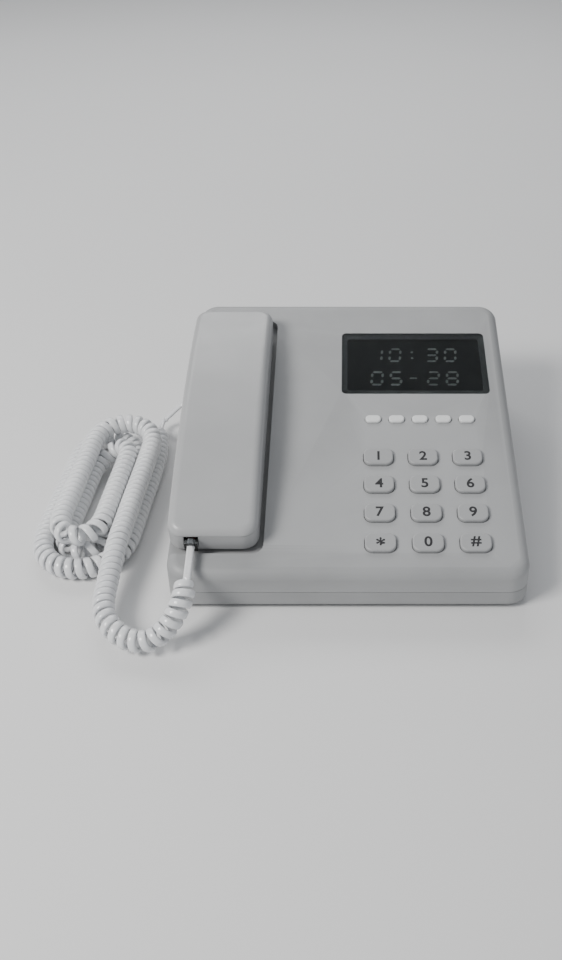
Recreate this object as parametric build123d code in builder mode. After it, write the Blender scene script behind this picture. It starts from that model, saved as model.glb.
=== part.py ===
from build123d import *
"""Corded desk telephone: wedge-shaped base with a handset lying along its left side,
a flush display, twelve dial keys, five function keys, and a long coiled handset cord.

Frame: millimetres, +X to the right, +Y towards the back, +Z up. The origin is on the
resting plane (the undersides of the rubber feet), below the centre of the base.
The sloping top panel has its own plane, TOP: u runs along +X, v runs up the slope
towards the back, n is the panel's outward normal.
"""
import os
from math import cos, hypot, radians, sin, tan

os.makedirs("parts", exist_ok=True)

# ------------------------------------------------------------------ driving sizes
BASE_W = 200.0          # base width, X
BASE_D = 220.0          # base depth, Y
TILT = 12.0             # slope of the top panel, degrees
FRONT_H = 26.0          # height of the panel's plane at the front edge
WALL = 2.4              # housing wall
CORNER_R = 12.0         # vertical corner radius of the base
EDGE_R = 6.0            # rounding around the top panel
FOOT_H = 2.5            # the feet stand this far below the lower housing
FOOT_R = 7.0
SPLIT_Z = 12.5          # parting plane of the two housings
PART_GAP = 0.2          # visible parting line
FLOOR_Z = 5.0           # inside floor of the lower housing
POST_Z = 8.6            # lower ends of the upper housing's screw posts
SIDE_X = BASE_W / 2     # outer face of the right wall
BACK_Y = BASE_D / 2     # outer face of the back wall

SCREW_XY = [(-90.3, -100.3), (90.3, -100.3), (-90.3, 100.0), (90.3, 100.0)]
FOOT_XY = [(-78, -78), (78, -78), (-78, 76), (78, 76)]
SPEAKER_XY = (50.0, 56.0)
KEYHOLE_Y = 84.14 / 2   # keyholes on the standard wall plate spacing
KEYHOLE_SHIFT = 6.5     # from the round entry to the slot's centre

CRADLE_X = -74.5        # handset centre line, u
CRADLE_RIGHT = -47.0    # right wall of the cradle trough, u
CRADLE_OPEN = -130.0    # the trough runs out through the left side to here, u
CRADLE_V = (-98.5, 92.5)
CRADLE_N = -5.0         # trough floor
CUP_W, CUP_L, CUP_N = 44.0, 42.0, -12.15
EAR_V, MOUTH_V = 66.0, -71.0
SKIN = 2.2              # wall of the cradle and of the handset

LENS_W, LENS_L, LENS_T = 93.0, 56.0, 1.5
LENS_U, LENS_V = 42.5, 52.5
LENS_UV = (LENS_U, LENS_V)
LCD_W, LCD_L = 88.0, 50.0
STRIP_UV = [(LENS_U, LENS_V - 22), (LENS_U, LENS_V + 22)]

KEY_W, KEY_L, KEY_R = 17.5, 12.5, 4.6
KEY_PROUD = 2.2
KEY_MARKS = (("1", "2", "3"), ("4", "5", "6"), ("7", "8", "9"), ("star", "0", "hash"))
DIAL_KEYS = {f"key_{mark}": (17.9 + 26.4 * column, -29.0 - 21.0 * row)
             for row, marks in enumerate(KEY_MARKS) for column, mark in enumerate(marks)}
FUNC_W, FUNC_L, FUNC_R = 9.6, 5.6, 2.7
FUNC_PROUD = 1.6
FUNC_KEYS = {f"key_{mark}": (15.3 + 14.3 * column, 2.0)
             for column, mark in enumerate(("flash", "redial", "mute", "down", "up"))}
KEY_GAP = 0.3           # clearance around every key

BOARD_TOP, BOARD_T = -9.6, 1.6
BOARD_UNDER = BOARD_TOP - BOARD_T
MAT_SCREW_UV = [(57.5, -81.5), (57.5, -39.5)]      # board screws that pass the keypad mat
BOARD_SCREW_UV = [(-31, -97), (-31, -42), (-31, 12), (-31, 78), (81.5, 14.5)] + MAT_SCREW_UV
HOOK_V = 28.0
HOOK_UV = (CRADLE_X, HOOK_V)

HS_W = 50.0             # handset width
HS_V = (-95.0, 89.0)    # handset ends along the slope
HS_LOW, HS_END, HS_MID = -1.0, 14.0, 22.0   # underside, top at the ends, top in the middle
HS_SPLIT = 10.0         # parting plane of the handset shells
HS_SCREW_UV = [(CRADLE_X, -44.0), (CRADLE_X, 38.0)]
POD_W, POD_L, POD_N = 40.0, 38.0, -12.0
POD_FLOOR = POD_N + SKIN
EAR_UV = (CRADLE_X, EAR_V)
MIC_UV = (CRADLE_X, MOUTH_V - 6.0)

JACK_Y, JACK_Z = 70.0, 19.0     # cord jack in the left wall; the line jack shares its height
LINE_JACK_X = 60.1
HS_JACK_U, HS_JACK_N = -86.0, 5.45
BASE_NOSE, HS_NOSE = 9.2, 9.1   # depth of the plugs' noses inside the base and the handset
JACK_HALF_W, JACK_LOW, JACK_HIGH = 4.0, -3.4, 4.5      # plug space in the cord's jacks
LINE_HALF_W, LATCH_HALF_W = 5.1, 3.1                   # line jack opening and latch notch
PLUG_W, PLUG_L, PLUG_H = 7.6, 12.6, 6.4
CONTACT_X = (-1.53, -0.51, 0.51, 1.53)

RINGER_Y, RINGER_Z = 37.0, 28.0  # ringer switch in the right wall
TONE_X, TONE_Z = 24.5, 20.0      # tone switch in the back wall

COS_TILT, SIN_TILT, TAN_TILT = cos(radians(TILT)), sin(radians(TILT)), tan(radians(TILT))
PANEL_Z = FRONT_H + BASE_D / 2 * TAN_TILT       # panel's plane above the base's centre
TOP = Plane(origin=(0, 0, PANEL_Z), x_dir=(1, 0, 0), z_dir=(0, -SIN_TILT, COS_TILT))
NORMAL = Axis((0, 0, 0), TOP.z_dir)


# ------------------------------------------------------------------ helpers
def world(u, v, n):
    """A point of the panel's plane in the base's frame."""
    return (u, v * COS_TILT - n * SIN_TILT, PANEL_Z + v * SIN_TILT + n * COS_TILT)


def save(part, name):
    """Label a piece and write its STEP file."""
    part.label = name
    export_step(part, f"parts/{name}.step")


def pads(plane, centres, width, length, low, high, corner=0):
    """Rectangular pads on a plane, from height low to high, rounded if corner is given."""
    with BuildPart() as pad:
        with BuildSketch(plane.offset(low)):
            with Locations(*centres):
                if corner:
                    RectangleRounded(width, length, corner)
                else:
                    Rectangle(width, length)
        extrude(amount=high - low)
    return pad.part


def discs(plane, centres, radius, low, high):
    """Round bosses, pins or holes on a plane, from height low to high."""
    with BuildPart() as disc:
        with BuildSketch(plane.offset(low)):
            with Locations(*centres):
                Circle(radius)
        extrude(amount=high - low)
    return disc.part


def ring(plane, centre, outer, inner, low, high):
    """A round wall on a plane, from height low to high."""
    with BuildPart() as wall:
        with BuildSketch(plane.offset(low)):
            with Locations(centre):
                Circle(outer)
                Circle(inner, mode=Mode.SUBTRACT)
        extrude(amount=high - low)
    return wall.part


def block(plane, x0, x1, y0, y1, z0, z1):
    """A plain block between two corners of a plane's own frame."""
    return pads(plane, [((x0 + x1) / 2, (y0 + y1) / 2)], x1 - x0, y1 - y0, z0, z1)


def slab(*corners):
    """A plain block between two corners of the base's frame."""
    return block(Plane.XY, *corners)


# ------------------------------------------------------------------ base housings
def envelope(grow):
    """The upper housing's outline, grown or shrunk all round."""
    half_w, half_d, rise = BASE_W / 2 + grow, BASE_D / 2 + grow, grow / COS_TILT
    with BuildPart() as outline:
        with BuildSketch(Plane.YZ):
            with BuildLine():
                Polyline((-half_d, SPLIT_Z), (-half_d, PANEL_Z - half_d * TAN_TILT + rise),
                         (half_d, PANEL_Z + half_d * TAN_TILT + rise), (half_d, SPLIT_Z),
                         close=True)
            make_face()
        extrude(amount=half_w, both=True)
        fillet(outline.edges().filter_by(Axis.Z), CORNER_R + grow)
        fillet(outline.faces().sort_by(Axis.Z)[-1].edges(), EDGE_R + grow)
    return outline.part


def cradle(grow):
    """The trough the handset lies in, with its ear cup and mouth cup, grown all round."""
    right, v0, v1 = CRADLE_RIGHT + grow, CRADLE_V[0] - grow, CRADLE_V[1] + grow
    with BuildPart() as trough:
        with BuildSketch(TOP.offset(CRADLE_N - grow)):
            with Locations(((right + CRADLE_OPEN) / 2, (v0 + v1) / 2)):
                RectangleRounded(right - CRADLE_OPEN, v1 - v0, 6.0 + grow)
        extrude(amount=60)
        with BuildSketch(TOP.offset(CUP_N - grow)):
            with Locations(EAR_UV, (CRADLE_X, MOUTH_V)):
                RectangleRounded(CUP_W + 2 * grow, CUP_L + 2 * grow, 8.0 + grow)
        extrude(amount=20)
    return trough.part


base_outline = envelope(0)
with BuildPart() as base_top_shell:
    add(base_outline)
    add(envelope(-WALL) - cradle(SKIN), mode=Mode.SUBTRACT)
    # housing screw posts, clipped to the outline above the parting plane
    for centre in SCREW_XY:
        add(discs(Plane.XY, [centre], 4.2, POST_Z, 75.0) & base_outline)
    add(discs(Plane.XY, SCREW_XY, 4.2, POST_Z, SPLIT_Z + 1))
    add(discs(TOP, BOARD_SCREW_UV, 3.4, BOARD_TOP, -1.0))
    add(cradle(0), mode=Mode.SUBTRACT)
    # pilot holes for the housing and board screws
    add(discs(Plane.XY, SCREW_XY, 1.3, POST_Z, POST_Z + 10.4), mode=Mode.SUBTRACT)
    add(discs(TOP, BOARD_SCREW_UV, 1.05, BOARD_TOP, BOARD_TOP + 6.0), mode=Mode.SUBTRACT)
    # display recess and window
    add(pads(TOP, [LENS_UV], LENS_W + 0.3, LENS_L + 0.3, -LENS_T - 0.1, 4.4, corner=3.15),
        mode=Mode.SUBTRACT)
    add(pads(TOP, [LENS_UV], 86, 48, -4, 2, corner=2), mode=Mode.SUBTRACT)
    # key openings
    for keys, width, length, corner in ((DIAL_KEYS, KEY_W, KEY_L, KEY_R),
                                        (FUNC_KEYS, FUNC_W, FUNC_L, FUNC_R)):
        add(pads(TOP, keys.values(), width + 2 * KEY_GAP, length + 2 * KEY_GAP, -4, 4,
                 corner=corner + KEY_GAP), mode=Mode.SUBTRACT)
    # hook plunger opening in the trough floor
    add(pads(TOP, [HOOK_UV], 14.8, 8.8, -12, -2, corner=4.0), mode=Mode.SUBTRACT)
    # cord jack opening, left wall
    add(slab(-SIDE_X - 3, -SIDE_X + 5, JACK_Y - JACK_HALF_W, JACK_Y + JACK_HALF_W,
             JACK_Z + JACK_LOW, JACK_Z + 4.7), mode=Mode.SUBTRACT)
    # line jack opening with its latch notch, back wall
    for half_w, low, high in ((LINE_HALF_W, -3.4, 3.4), (LATCH_HALF_W, 3.3, 5.1)):
        add(slab(LINE_JACK_X - half_w, LINE_JACK_X + half_w, BACK_Y - 5, BACK_Y + 3,
                 JACK_Z + low, JACK_Z + high), mode=Mode.SUBTRACT)
    # ringer switch slot, right wall, and tone switch slot, back wall
    add(slab(SIDE_X - 5, SIDE_X + 3, RINGER_Y - 8, RINGER_Y + 8, RINGER_Z - 1.8, RINGER_Z + 1.8),
        mode=Mode.SUBTRACT)
    add(slab(TONE_X - 6.5, TONE_X + 6.5, BACK_Y - 5, BACK_Y + 3, TONE_Z - 1.8, TONE_Z + 1.8),
        mode=Mode.SUBTRACT)
save(base_top_shell.part, "base_top_shell")

RIM_Z = SPLIT_Z - PART_GAP      # rim of the lower housing
UNDER_CUT = FOOT_H - 1          # cuts from below start here
INSIDE_W, INSIDE_D = BASE_W - 2 * WALL, BASE_D - 2 * WALL
with BuildPart() as base_bottom_shell:
    add(pads(Plane.XY, [(0, 0)], BASE_W, BASE_D, FOOT_H, RIM_Z, corner=CORNER_R))
    fillet(base_bottom_shell.faces().sort_by(Axis.Z)[0].edges(), 2.0)
    # tongue that locates the upper housing, then the inside
    add(pads(Plane.XY, [(0, 0)], INSIDE_W - 0.3, INSIDE_D - 0.3, RIM_Z - 1, RIM_Z + 2,
             corner=CORNER_R - WALL))
    add(pads(Plane.XY, [(0, 0)], INSIDE_W - 2.7, INSIDE_D - 2.7, FLOOR_Z, FLOOR_Z + 20,
             corner=CORNER_R - WALL - 1.2), mode=Mode.SUBTRACT)
    # screw posts, counterbored from below
    add(discs(Plane.XY, SCREW_XY, 4.6, FLOOR_Z - 0.5, FLOOR_Z + 3.4))
    add(discs(Plane.XY, SCREW_XY, 3.1, UNDER_CUT, UNDER_CUT + 4.2), mode=Mode.SUBTRACT)
    add(discs(Plane.XY, SCREW_XY, 1.6, UNDER_CUT, UNDER_CUT + 10), mode=Mode.SUBTRACT)
    # recesses for the feet
    add(discs(Plane.XY, FOOT_XY, FOOT_R + 0.2, UNDER_CUT, UNDER_CUT + 1.8), mode=Mode.SUBTRACT)
    # wall-mount keyholes
    with BuildSketch(Plane.XY.offset(UNDER_CUT)):
        with Locations((0, -KEYHOLE_Y), (0, KEYHOLE_Y)):
            Circle(5.0)
        with Locations((0, -KEYHOLE_Y + KEYHOLE_SHIFT), (0, KEYHOLE_Y + KEYHOLE_SHIFT)):
            SlotOverall(13.0, 5.0, rotation=90)
    extrude(amount=8, mode=Mode.SUBTRACT)
    # ringer sound slots
    with BuildSketch(Plane.XY.offset(UNDER_CUT)):
        for k, length in zip(range(-3, 4), (14, 22, 27, 29, 27, 22, 14)):
            with Locations((SPEAKER_XY[0], SPEAKER_XY[1] + 4.2 * k)):
                SlotOverall(length, 1.8)
    extrude(amount=8, mode=Mode.SUBTRACT)
    # speaker ring wall
    add(ring(Plane.XY, SPEAKER_XY, 22.4, 20.6, FLOOR_Z - 0.5, FLOOR_Z + 6.0))
save(base_bottom_shell.part, "base_bottom_shell")

with BuildPart() as rubber_feet:
    add(discs(Plane.XY, FOOT_XY, FOOT_R, 0, FOOT_H + 0.7))
    fillet(rubber_feet.faces().group_by(Axis.Z)[0].edges(), 0.8)
save(rubber_feet.part, "rubber_feet")

HEAD_Z = 3.2            # underside of the housing screws' heads
CROSS_L, CROSS_W = 3.2, 0.7
with BuildPart() as base_screws:
    add(discs(Plane.XY, SCREW_XY, 2.8, HEAD_Z, HEAD_Z + 2.3))
    add(discs(Plane.XY, SCREW_XY, 1.25, HEAD_Z + 2.2, HEAD_Z + 14.6))
    for size_x, size_y in ((CROSS_L, CROSS_W), (CROSS_W, CROSS_L)):      # cross recess
        add(pads(Plane.XY, SCREW_XY, size_x, size_y, HEAD_Z, HEAD_Z + 1.2), mode=Mode.SUBTRACT)
save(base_screws.part, "base_screws")

save(pads(Plane.XY, [(-52.0, -14.0)], 64, 96, FLOOR_Z + 0.1, FLOOR_Z + 3.1, corner=4),
     "ballast_plate")

SPEAKER_R = 20.2
with BuildPart() as ringer_speaker:
    add(ring(Plane.XY, SPEAKER_XY, SPEAKER_R, 17.6, FLOOR_Z + 0.1, FLOOR_Z + 2.5))
    add(discs(Plane.XY, [SPEAKER_XY], SPEAKER_R, FLOOR_Z + 2.5, FLOOR_Z + 3.7))
    with BuildSketch(Plane.XY.offset(FLOOR_Z + 3.7)):
        with Locations(SPEAKER_XY):
            Circle(13.5)
    extrude(amount=5.0, taper=12)
    add(discs(Plane.XY, [SPEAKER_XY], 9.0, FLOOR_Z + 8.7, FLOOR_Z + 13.7))
save(ringer_speaker.part, "ringer_speaker")

# ------------------------------------------------------------------ display
with BuildPart() as display_lens:
    add(pads(TOP, [LENS_UV], LENS_W, LENS_L, -LENS_T - 0.05, -0.05, corner=3.0))
    fillet(display_lens.faces().sort_by(SortBy.AREA)[-2:].sort_by(Axis.Z)[-1].edges(), 0.3)
save(display_lens.part, "display_lens")

save(pads(TOP, [LENS_UV], LCD_W, LCD_L, -5.2, -2.7), "lcd_panel")

with BuildPart() as lcd_holder:
    add(pads(TOP, [LENS_UV], LENS_W + 2, LENS_L + 2, -8.4, -2.6, corner=2))
    add(pads(TOP, [LENS_UV], LCD_W + 0.6, LCD_L + 0.6, -5.3, 0.7), mode=Mode.SUBTRACT)
    # slots for the elastomer strips and a window between them
    add(pads(TOP, STRIP_UV, 83, 2.8, -9, -3), mode=Mode.SUBTRACT)
    add(pads(TOP, [LENS_UV], 70, 30, -9, -3), mode=Mode.SUBTRACT)
save(lcd_holder.part, "lcd_holder")

save(pads(TOP, STRIP_UV, 82, 2.2, BOARD_TOP + 0.05, -5.25), "elastomer_strips")

# ------------------------------------------------------------------ board
with BuildPart() as main_board:
    add(pads(TOP, [(25.0, -8.5)], 122, 189, BOARD_UNDER, BOARD_TOP, corner=3))
    add(discs(TOP, BOARD_SCREW_UV, 1.3, BOARD_UNDER, BOARD_TOP), mode=Mode.SUBTRACT)
save(main_board.part, "main_board")

# u, v, width, length, height of the square components; u, v, radius, height of the round ones
SQUARE_COMPONENTS = ((44, -50, 22, 14, 2.6), (10, 30, 14, 10, 2.2), (66, 36, 16, 14, 9.0),
                     (-20, -60, 12, 18, 3.0), (20, -12, 9, 6, 2.0))
ROUND_COMPONENTS = ((-22, 52, 4.0, 10.0), (-12, 52, 3.2, 8.0), (30, 60, 2.5, 6.0),
                    (76, -14, 4.0, 9.0))
COMPONENT_N = BOARD_UNDER - 0.05        # the components hang down from here
with BuildPart() as board_components:
    for u, v, width, length, height in SQUARE_COMPONENTS:
        add(pads(TOP, [(u, v)], width, length, COMPONENT_N - height, COMPONENT_N))
    for u, v, radius, height in ROUND_COMPONENTS:
        add(discs(TOP, [(u, v)], radius, COMPONENT_N - height, COMPONENT_N))
save(board_components.part, "board_components")

with BuildPart() as board_screws:
    add(discs(TOP, BOARD_SCREW_UV, 2.4, BOARD_UNDER - 1.9, BOARD_UNDER))
    add(discs(TOP, BOARD_SCREW_UV, 1.0, BOARD_UNDER - 0.1, BOARD_UNDER + 6.5))
save(board_screws.part, "board_screws")

# ------------------------------------------------------------------ keys
DOME_LOW, DOME_TOP = BOARD_TOP + 1.0, -5.2
STEM_LOW = -3.4
FLANGE_LOW, FLANGE_TOP = -4.1, -2.7
CAP_WALL = 1.2

with BuildPart() as keypad_mat:
    with BuildSketch(TOP.offset(BOARD_TOP + 0.05)):
        with Locations((44.0, -45.0)):
            RectangleRounded(78, 108, 3)
        with Locations(*MAT_SCREW_UV):
            Circle(4.0, mode=Mode.SUBTRACT)
    extrude(amount=1.0)
    # tapered domes under the dial keys, then under the function keys
    with BuildSketch(TOP.offset(DOME_LOW)):
        with Locations(*DIAL_KEYS.values()):
            Circle(4.2)
    extrude(amount=DOME_TOP - DOME_LOW, taper=14)
    with BuildSketch(TOP.offset(DOME_LOW)):
        with Locations(*FUNC_KEYS.values()):
            Circle(1.9)
    extrude(amount=DOME_TOP - DOME_LOW, taper=6)
save(keypad_mat.part, "keypad_mat")


def key_cap(centre, width, length, corner, proud, flange, stem_r):
    """A key cap with a retaining flange, hollow underneath, and a centre stem over its dome."""
    with BuildPart() as cap:
        add(pads(TOP, [centre], width, length, -3.0, proud, corner=corner))
        fillet(cap.faces().sort_by(NORMAL)[-1].edges(), 0.9)
        add(pads(TOP, [centre], width + 2 * flange, length + 2 * flange, FLANGE_LOW, FLANGE_TOP,
                 corner=corner + flange))
        add(pads(TOP, [centre], width - 2 * CAP_WALL, length - 2 * CAP_WALL, FLANGE_LOW,
                 proud - 1.6, corner=corner - CAP_WALL), mode=Mode.SUBTRACT)
        add(discs(TOP, [centre], stem_r, STEM_LOW, proud - 1.5))
    return cap.part


for name, centre in DIAL_KEYS.items():
    save(key_cap(centre, KEY_W, KEY_L, KEY_R, KEY_PROUD, flange=1.5, stem_r=2.0), name)
for name, centre in FUNC_KEYS.items():
    save(key_cap(centre, FUNC_W, FUNC_L, FUNC_R, FUNC_PROUD, flange=1.1, stem_r=1.0), name)

# ------------------------------------------------------------------ hook switch
STEM_END, STEM_R = -32.0, 2.2
with BuildPart() as hook_plunger:
    add(pads(TOP, [HOOK_UV], 14.0, 8.0, -11.5, HS_LOW - 0.15, corner=3.6))
    fillet(hook_plunger.faces().sort_by(NORMAL)[-1].edges(), 1.2)
    # retaining collar and stem, its end almost a full dome
    add(pads(TOP, [HOOK_UV], 17.0, 11.0, -13.0, -11.4, corner=5.0))
    add(discs(TOP, [HOOK_UV], STEM_R, STEM_END, -12.9))
    fillet(hook_plunger.faces().sort_by(NORMAL)[0].edges(), STEM_R - 0.02)
save(hook_plunger.part, "hook_plunger")

BRACKET_TOP = CRADLE_N - SKIN - 0.1
with BuildPart() as hook_bracket:
    # cross plate, short left leg, and long right leg; then the stem's guide hole
    for x0, x1, low, high in ((-15, 15, -26.0, -24.0), (-15, -13, -25.0, BRACKET_TOP),
                              (13, 15, -38.0, BRACKET_TOP)):
        add(block(TOP, CRADLE_X + x0, CRADLE_X + x1, HOOK_V - 8, HOOK_V + 8, low, high))
    add(discs(TOP, [HOOK_UV], STEM_R + 0.1, -27, -23), mode=Mode.SUBTRACT)
save(hook_bracket.part, "hook_bracket")

SPRING_LOW, SPRING_HIGH, SPRING_R, WIRE_R = -23.55, -13.5, 3.5, 0.38
SPRING_H, SPRING_TURNS = SPRING_HIGH - SPRING_LOW, 6
with BuildPart() as hook_spring:
    with BuildLine() as wire:
        Helix(pitch=SPRING_H / SPRING_TURNS, height=SPRING_H, radius=SPRING_R)
    with BuildSketch(Plane(origin=wire.line @ 0, z_dir=wire.line % 0)):
        Circle(WIRE_R)
    sweep(is_frenet=True)
spring_seat = Plane(origin=world(CRADLE_X, HOOK_V, SPRING_LOW), x_dir=(1, 0, 0), z_dir=TOP.z_dir)
save(spring_seat.location * hook_spring.part, "hook_spring")

# the lever's plane lies across its pivot: local x runs towards the plunger, y along the normal
LEVER_N, LEVER_X, LEVER_L, LEVER_DROP = -30.6, 11.8, 13.6, 8.0
LEVER_HALF_T = 0.2
lever_plane = Plane(origin=world(CRADLE_X + LEVER_X, HOOK_V, LEVER_N), x_dir=(-1, 0, 0),
                    z_dir=(0, COS_TILT, SIN_TILT))
# body, two pivot ears and three terminals: x, v and n limits from the hook's centre
MICROSWITCH_BLOCKS = [(3.6, 12.9, -3.4, 3.4, -38.0, -33.4),
                      (10.7, 12.9, -3.4, -2.2, -33.5, -29.4),
                      (10.7, 12.9, 2.2, 3.4, -33.5, -29.4)]
MICROSWITCH_BLOCKS += [(8.0, 8.5, v - 0.4, v + 0.4, -41.0, -37.9) for v in (-2.2, 0.0, 2.2)]
with BuildPart() as hook_microswitch:
    for x0, x1, v0, v1, low, high in MICROSWITCH_BLOCKS:
        add(block(TOP, CRADLE_X + x0, CRADLE_X + x1, HOOK_V + v0, HOOK_V + v1, low, high))
    add(discs(lever_plane, [(0, 0)], 0.46, -5, 5), mode=Mode.SUBTRACT)
save(hook_microswitch.part, "hook_microswitch")

drop_cos, drop_sin = cos(radians(LEVER_DROP)), sin(radians(LEVER_DROP))
tip_x, tip_y = LEVER_L * drop_cos, -LEVER_L * drop_sin
half_x, half_y = LEVER_HALF_T * drop_sin, LEVER_HALF_T * drop_cos
with BuildPart() as hook_switch_lever:
    with BuildSketch(lever_plane.offset(-1.9)):
        with BuildLine():
            Polyline((half_x, half_y), (tip_x + half_x, tip_y + half_y),
                     (tip_x - half_x, tip_y - half_y), (-half_x, -half_y), close=True)
        make_face()
        Circle(0.75)
    extrude(amount=3.8)
    add(discs(lever_plane, [(0, 0)], 0.4, -3.3, 3.3))       # pivot pin
save(hook_switch_lever.part, "hook_switch_lever")

# ------------------------------------------------------------------ jacks and plugs
# Each port's plane has x across, y towards the plug's nose and z towards its latch.
BASE_PORT = Plane(origin=(-SIDE_X + BASE_NOSE, JACK_Y, JACK_Z), x_dir=(0, -1, 0),
                  z_dir=(0, 0, 1))
HS_PORT = Plane(origin=world(HS_JACK_U, HS_V[0] + HS_NOSE, HS_JACK_N), x_dir=(1, 0, 0),
                z_dir=TOP.z_dir)


def jack(plane, mouth, depth):
    """A modular jack: a moulded box around the plug's space, open at its mouth."""
    with BuildPart() as box:
        add(block(plane, -JACK_HALF_W - 1.5, JACK_HALF_W + 1.5, mouth, mouth + depth,
                  JACK_LOW - 0.8, JACK_HIGH + 0.8))
        add(block(plane, -JACK_HALF_W, JACK_HALF_W, mouth - 1, mouth + depth - 1.5,
                  JACK_LOW, JACK_HIGH), mode=Mode.SUBTRACT)
    return box.part


save(jack(BASE_PORT, mouth=-6.7, depth=13.4), "cord_jack")
save(jack(HS_PORT, mouth=-6.1, depth=12.7), "handset_jack")

# the line jack's mouth is at the inside of the back wall; y runs towards the back
LINE_MOUTH_Y = BACK_Y - WALL
line_plane = Plane(origin=(LINE_JACK_X, LINE_MOUTH_Y - 0.05, JACK_Z), x_dir=(1, 0, 0),
                   z_dir=(0, 0, 1))
with BuildPart() as line_jack:
    add(block(line_plane, -LINE_HALF_W - 1.5, LINE_HALF_W + 1.5, -14.0, 0, -4.4, 5.9))
    add(block(line_plane, -LINE_HALF_W, LINE_HALF_W, -12.5, 1, -3.4, 3.4), mode=Mode.SUBTRACT)
    add(block(line_plane, -LATCH_HALF_W, LATCH_HALF_W, -12.5, 1, 3.3, 5.0), mode=Mode.SUBTRACT)
save(line_jack.part, "line_jack")

with BuildPart() as jack_contacts:
    for x in CONTACT_X:
        with BuildLine() as spring_wire:
            Line((LINE_JACK_X + x, LINE_MOUTH_Y - 3.0, JACK_Z - 2.95),
                 (LINE_JACK_X + x, LINE_MOUTH_Y - 12.2, JACK_Z + 1.2))
        with BuildSketch(Plane(origin=spring_wire.line @ 0, z_dir=spring_wire.line % 0)):
            Circle(0.24)
        sweep()
save(jack_contacts.part, "jack_contacts")

# side profile of the latch: along the plug, height; it rises from the nose to the tail
LATCH_PROFILE = ((-1.2, 3.1), (-1.2, 3.8), (-7.6, 4.2), (-14.6, 4.9),
                 (-14.6, 4.2), (-7.6, 3.6), (-2.8, 3.4), (-2.8, 3.1))
LATCH_W = 3.2


def plug(plane):
    """A four-contact modular plug with its latch, hollow for the cord's end and conductors."""
    with BuildPart() as body:
        add(block(plane, -PLUG_W / 2, PLUG_W / 2, -PLUG_L, 0, -PLUG_H / 2, PLUG_H / 2))
        chamfer(body.edges().filter_by(Axis(plane.origin, plane.z_dir)), 0.4)
        add(block(plane, -2.3, 2.3, -PLUG_L - 1, -6.6, -1.4, 1.4), mode=Mode.SUBTRACT)
        add(block(plane, -2.3, 2.3, -6.7, -1.0, -1.4, -0.2), mode=Mode.SUBTRACT)
        for x in CONTACT_X:
            add(block(plane, x - 0.26, x + 0.26, -4.0, -0.5, -4.0, -1.3), mode=Mode.SUBTRACT)
        side = Plane(origin=plane.origin, x_dir=plane.y_dir, z_dir=plane.x_dir)
        with BuildSketch(side.offset(-LATCH_W / 2)):
            with BuildLine():
                Polyline(*LATCH_PROFILE, close=True)
            make_face()
        extrude(amount=LATCH_W)
    return body.part


def contact_blades(plane):
    """The four contact blades in a plug's slots."""
    with BuildPart() as blades:
        for x in CONTACT_X:
            add(block(plane, x - 0.18, x + 0.18, -3.7, -0.8, -3.1, -1.35))
    return blades.part


def conductors(plane):
    """The four round conductors inside a plug."""
    start = Plane(origin=plane.from_local_coords(Vector(0, -7.9, -0.8)), x_dir=plane.x_dir,
                  z_dir=plane.y_dir)
    # on this plane local y is vertical in the plug, so the row lies along local x
    return discs(start, [(x, 0) for x in CONTACT_X], 0.42, 0, 6.6)


for end, port in (("base", BASE_PORT), ("handset", HS_PORT)):
    save(plug(port), f"plug_{end}")
    save(contact_blades(port), f"plug_{end}_contacts")
    save(conductors(port), f"plug_{end}_wires")

# ------------------------------------------------------------------ cord
CORD_W, CORD_T = 4.2, 2.4       # flat cord at both ends
TAIL_INSET = 8.2                # the cord starts this far behind a plug's nose
HS_TAIL_V = HS_V[0] - 23.5
LANE = 12.7                     # spacing of neighbouring strands of the hank
HANK_X = -152.0                 # centre line of the hank
OUTER_RIGHT, OUTER_LEFT = HANK_X + 2 * LANE, HANK_X - 2 * LANE
INNER_RIGHT, INNER_LEFT = HANK_X + LANE, HANK_X - LANE

with BuildPart() as cord_tail_handset:
    with BuildSketch(Plane(origin=HS_PORT.from_local_coords(Vector(0, -TAIL_INSET, 0)),
                           x_dir=(1, 0, 0), z_dir=(0, -COS_TILT, -SIN_TILT))):
        SlotOverall(CORD_W, CORD_T)
    extrude(amount=HS_V[0] + HS_NOSE - TAIL_INSET - HS_TAIL_V - 0.6)
save(cord_tail_handset.part, "cord_tail_handset")

tail_start = Vector(-SIDE_X + BASE_NOSE - TAIL_INSET, JACK_Y, JACK_Z)
with BuildPart() as cord_tail_base:
    with BuildLine():
        Spline(tail_start, tail_start + Vector(-8, 0, 0), (-114.5, JACK_Y - 1.6, 15.0),
               (-123.5, JACK_Y - 8.0, 9.2), (OUTER_RIGHT, 50.2, 6.3),
               tangents=(Vector(-1, 0, 0), Vector(0, -1, 0)))
    with BuildSketch(Plane(origin=tail_start, x_dir=(0, 1, 0), z_dir=(-1, 0, 0))):
        SlotOverall(CORD_W, CORD_T)
    sweep()
save(cord_tail_base.part, "cord_tail_base")

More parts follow.
